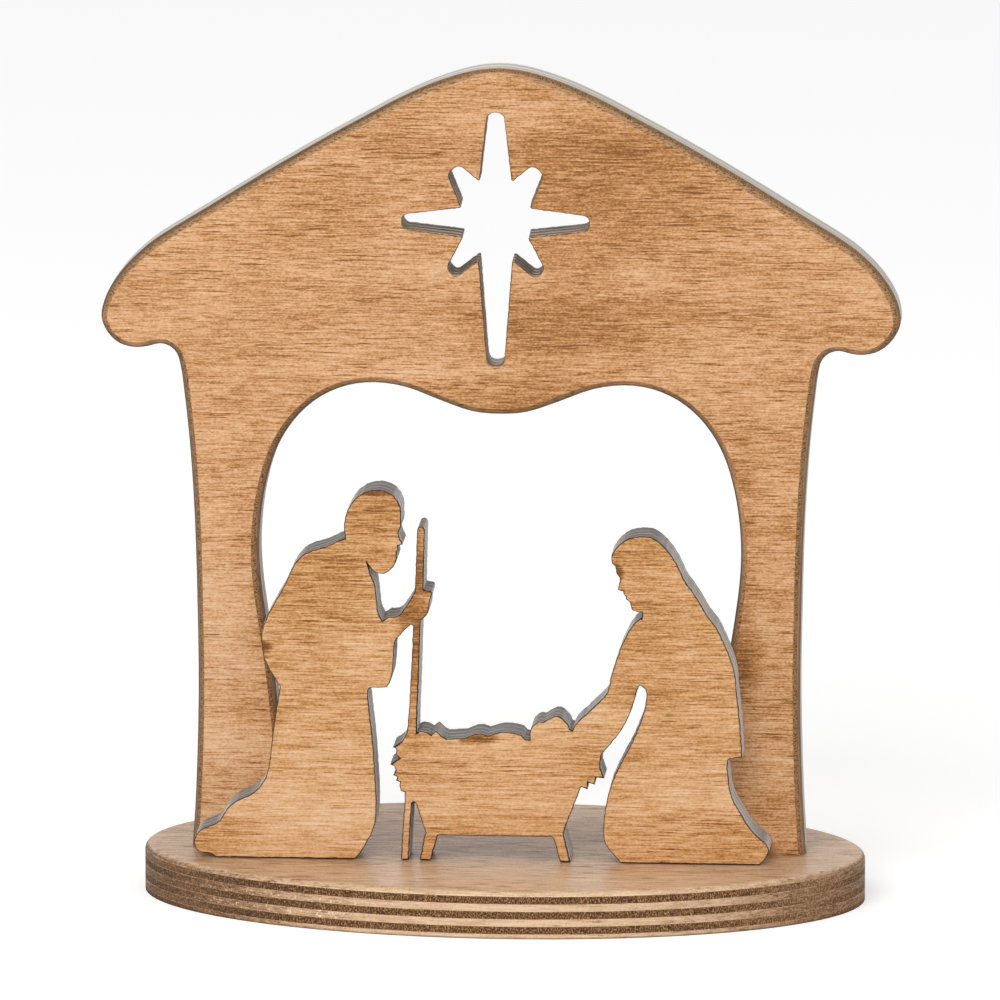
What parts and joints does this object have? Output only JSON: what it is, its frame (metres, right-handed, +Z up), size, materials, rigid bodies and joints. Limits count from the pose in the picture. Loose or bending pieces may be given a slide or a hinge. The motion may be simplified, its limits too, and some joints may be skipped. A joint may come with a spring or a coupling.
{
  "type": "nativity stable ornament",
  "caption": "Free-standing wooden nativity scene: a gabled stable board with a cut-out star and doorway, an oval base, and a silhouette board of figures and a manger in front.",
  "frame": {"origin": "on the surface that the base stands on, below the middle of the part's box", "axes": "+Z up, -Y towards the front, where the figures are, +X to the right as seen from the front"},
  "size_m": [0.1997, 0.1052, 0.2105],
  "materials": {
    "base_face": "honey-brown stain under a satin lacquer",
    "stable_face": "honey-brown stain, streaky grain running across, satin",
    "figures_face": "golden-brown stain, streaky grain running across, satin",
    "light_ply": "long grain at the cut edge, stained",
    "dark_ply": "end grain at the cut edge, dark with stain",
    "screw_steel": "bright zinc-plated steel"
  },
  "bodies": {
    "root": {"base_top_veneer": "base_face", "base_ply_2": "dark_ply", "base_ply_3": "light_ply", "base_ply_4": "dark_ply", "base_ply_5": "light_ply", "base_ply_6": "dark_ply", "base_bottom_veneer": "base_face", "stable_front_veneer": "stable_face", "stable_ply_2": "dark_ply", "stable_ply_3": "light_ply", "stable_ply_4": "dark_ply", "stable_ply_5": "light_ply", "stable_ply_6": "dark_ply", "stable_back_veneer": "stable_face", "figures_front_veneer": "figures_face", "figures_ply_2": "dark_ply", "figures_ply_3": "light_ply", "figures_ply_4": "dark_ply", "figures_ply_5": "light_ply", "figures_ply_6": "dark_ply", "figures_back_veneer": "figures_face", "base_screws": "screw_steel"}
  },
  "joints": []
}
